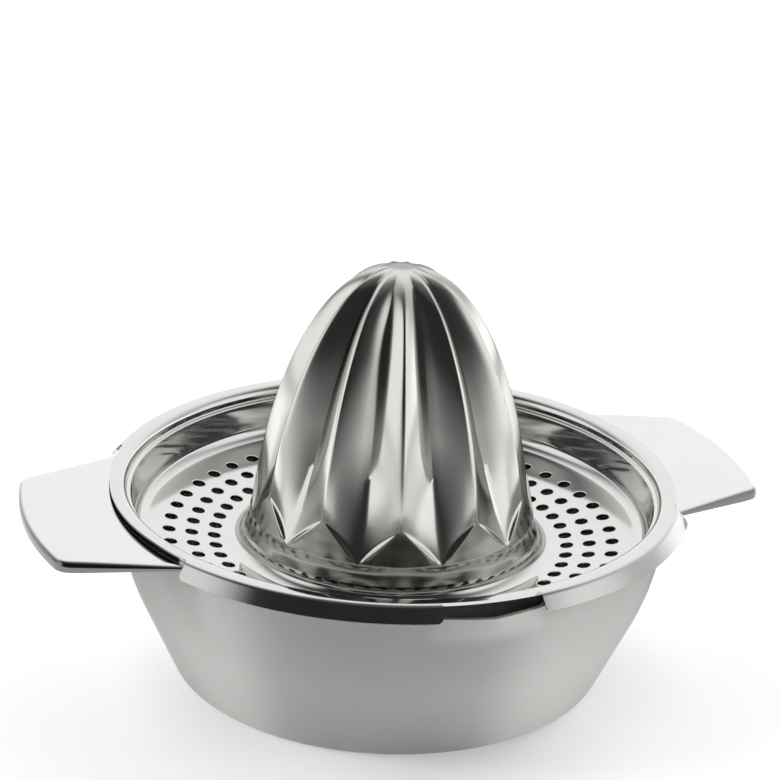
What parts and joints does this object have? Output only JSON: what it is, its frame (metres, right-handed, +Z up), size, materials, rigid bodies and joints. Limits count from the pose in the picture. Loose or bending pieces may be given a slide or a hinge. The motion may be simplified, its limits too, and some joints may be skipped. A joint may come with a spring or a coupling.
{
  "type": "citrus juicer",
  "caption": "Hand citrus juicer in steel sheet: a tapered bowl with a V spout and two wing handles, under a lift-off perforated strainer with a fluted reamer cone.",
  "frame": {"origin": "centre of the flat base on the plane that the bowl stands on", "axes": "+Z up along the bowl's axis; +X along the right handle; -Y towards the spout"},
  "size_m": [0.197, 0.1563, 0.11],
  "materials": {
    "bowl_steel": "satin stainless steel with fine turning lines round the axis",
    "handle_steel": "polished stainless steel sheet",
    "strainer_steel": "polished stainless steel sheet with punched holes",
    "reamer_steel": "polished stainless steel with pressed flutes"
  },
  "bodies": {
    "bowl": {"juice_bowl": "bowl_steel", "left_handle": "handle_steel", "right_handle": "handle_steel"},
    "strainer": {"strainer_pan": "strainer_steel", "reamer_cone": "reamer_steel"}
  },
  "joints": [
    {"name": "strainer_lift", "type": "slide", "parent": "bowl", "child": "strainer", "axis": [0, 0, 1], "range_m": [0, 0.06]}
  ]
}
